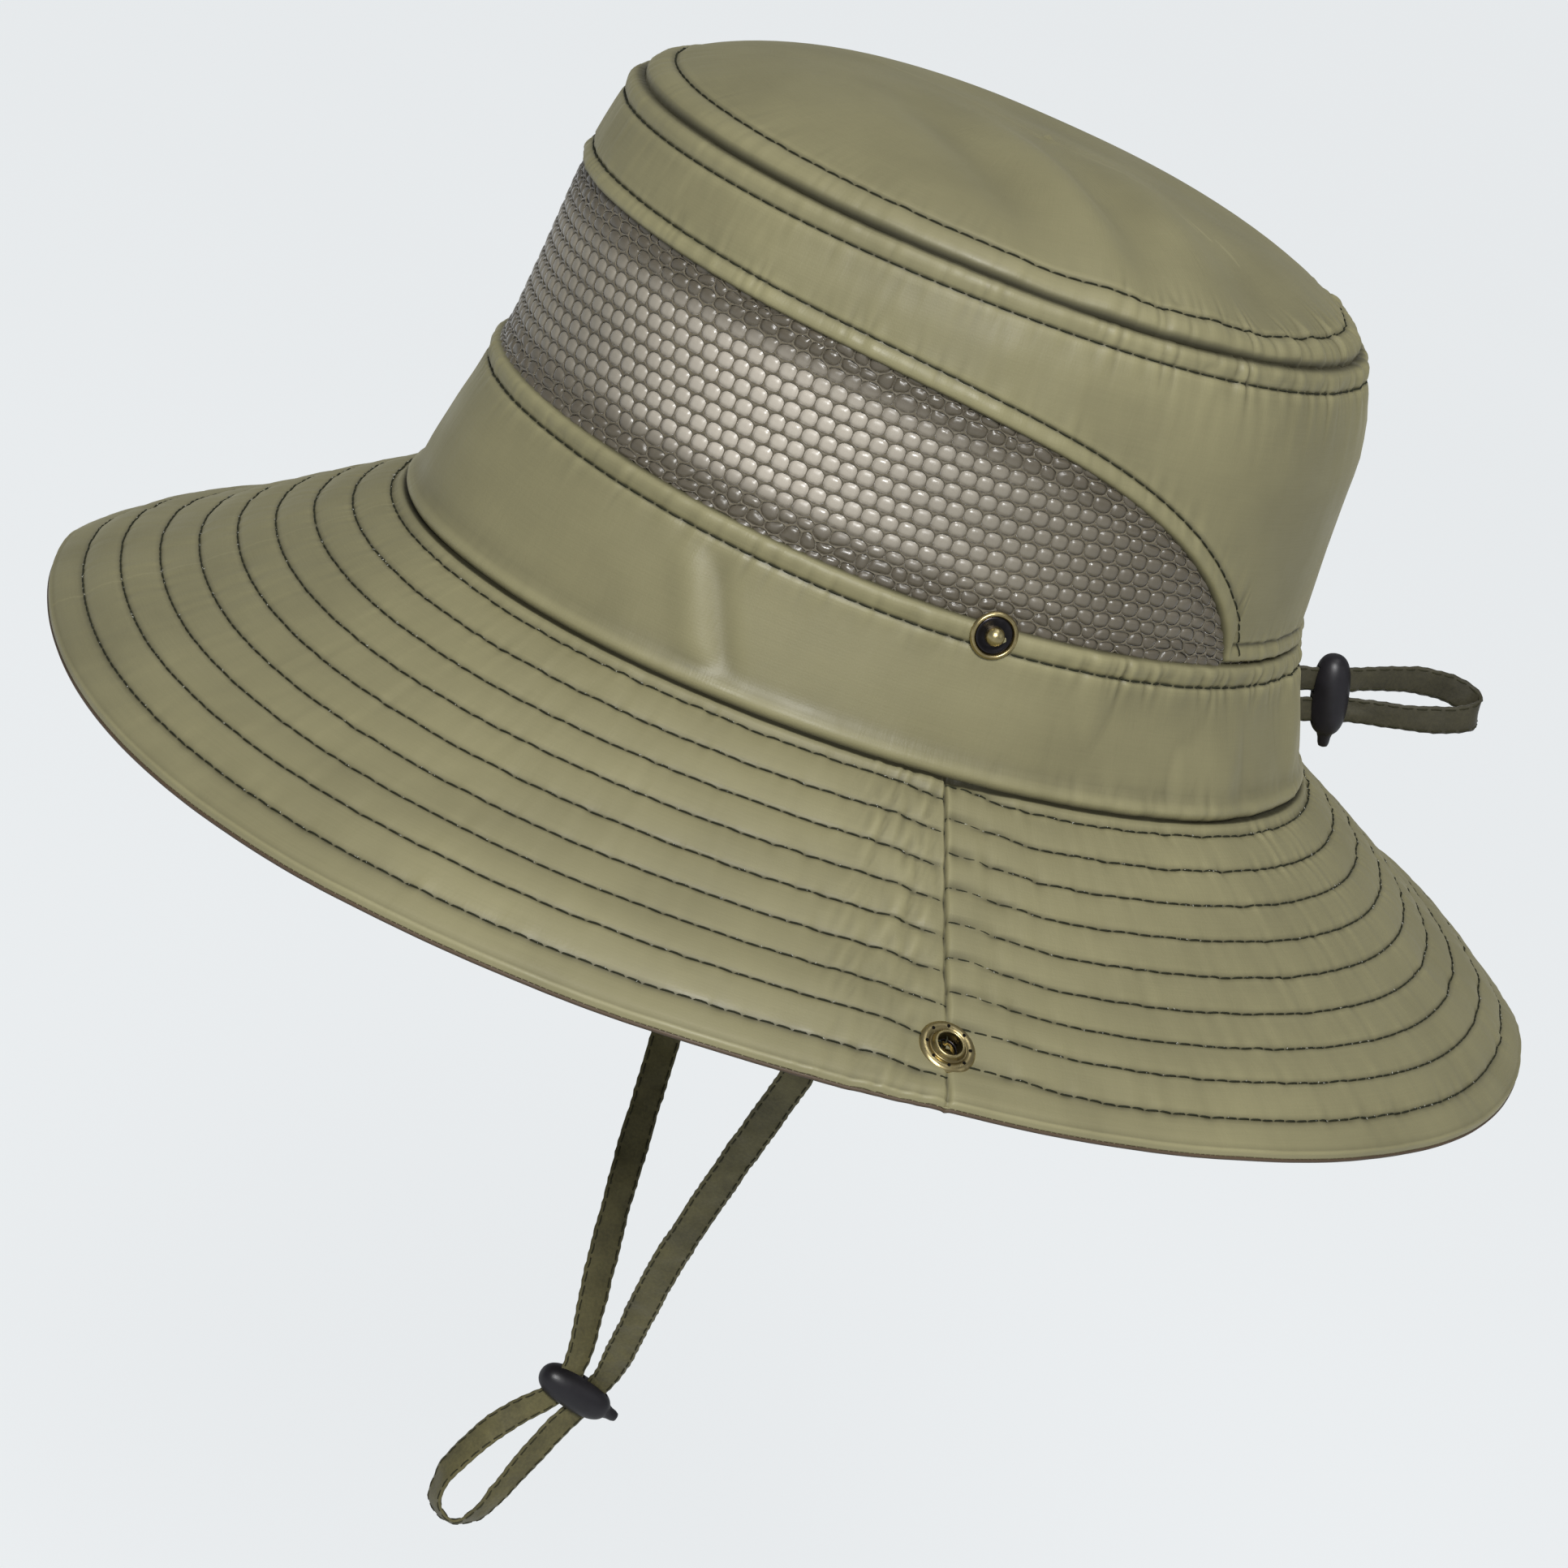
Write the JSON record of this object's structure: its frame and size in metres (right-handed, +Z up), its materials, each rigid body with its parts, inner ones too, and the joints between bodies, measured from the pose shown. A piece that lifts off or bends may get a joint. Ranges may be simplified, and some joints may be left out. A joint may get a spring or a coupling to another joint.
{
  "type": "boonie hat",
  "caption": "Wide-brim cloth sun hat with a net vent band, quilted brim whose sides fold up and snap, back drawstring and ribbon chin strap with rubber beads.",
  "frame": {"origin": "middle of the head opening, in the plane of the seam between crown and brim", "axes": "+Z up towards the crown's top, -Y towards the front of the hat, +X towards the wearer's left"},
  "size_m": [0.3074, 0.3401, 0.3509],
  "materials": {
    "olive_shell": "thin satin-faced nylon, slight sheen",
    "mesh_net": "knitted rounded-hexagon net, matt",
    "net_lining": "fine pale tricot with a soft sheen",
    "inner_cloth": "matt woven cloth",
    "olive_ribbon": "flat stitched cloth ribbon, matt",
    "antique_brass": "antique brass, polished high spots",
    "dark_metal": "blackened steel",
    "black_rubber": "soft black rubber, satin"
  },
  "bodies": {
    "hat": {"crown_top": "olive_shell", "crown_side_panel": "olive_shell", "mesh_panel": "mesh_net", "mesh_lining": "net_lining", "crown_lower_band": "olive_shell", "sweatband": "inner_cloth", "brim_upper_front": "olive_shell", "brim_upper_back": "olive_shell", "brim_stiffener": "inner_cloth", "brim_under_front": "olive_shell", "brim_under_back": "olive_shell", "stud_washer_left": "antique_brass", "stud_cup_left": "dark_metal", "stud_post_left": "antique_brass", "stud_backing_left": "dark_metal", "stud_washer_right": "antique_brass", "stud_cup_right": "dark_metal", "stud_post_right": "antique_brass", "stud_backing_right": "dark_metal", "drawstring_run_left": "olive_ribbon", "drawstring_run_right": "olive_ribbon", "drawstring_loop": "olive_ribbon", "chin_strap_left": "olive_ribbon", "chin_strap_right": "olive_ribbon", "chin_loop": "olive_ribbon", "chin_strap_tab_left": "olive_ribbon", "chin_strap_tab_right": "olive_ribbon"},
    "brim_flap_left": {"brim_upper_left_front": "olive_shell", "brim_upper_left_back": "olive_shell", "brim_stiffener_left": "inner_cloth", "brim_under_left_front": "olive_shell", "brim_under_left_back": "olive_shell", "socket_ring_left": "antique_brass", "socket_spring_left": "dark_metal", "socket_cap_left": "antique_brass"},
    "brim_flap_right": {"brim_upper_right_front": "olive_shell", "brim_upper_right_back": "olive_shell", "brim_stiffener_right": "inner_cloth", "brim_under_right_front": "olive_shell", "brim_under_right_back": "olive_shell", "socket_ring_right": "antique_brass", "socket_spring_right": "dark_metal", "socket_cap_right": "antique_brass"},
    "chin_bead": {"chin_bead": "black_rubber"},
    "back_bead": {"back_bead": "black_rubber"}
  },
  "joints": [
    {"name": "left_brim_fold", "type": "hinge", "parent": "hat", "child": "brim_flap_left", "pos_m": [0.10165, 0, -0.00955], "axis": [0, -1, 0], "range_deg": [0, 140], "stiffness_Nm_per_rad": 0.012},
    {"name": "right_brim_fold", "type": "hinge", "parent": "hat", "child": "brim_flap_right", "pos_m": [-0.10165, 0, -0.00955], "axis": [0, 1, 0], "range_deg": [0, 140], "stiffness_Nm_per_rad": 0.012},
    {"name": "chin_bead_slide", "type": "slide", "parent": "hat", "child": "chin_bead", "axis": [0, 0, 1], "range_m": [-0.026, 0.1], "deforming": ["chin_strap_left", "chin_strap_right", "chin_loop"]},
    {"name": "back_bead_slide", "type": "slide", "parent": "hat", "child": "back_bead", "axis": [0, 0.9659, 0.2588], "range_m": [-0.004, 0.02], "deforming": ["drawstring_loop"]}
  ]
}
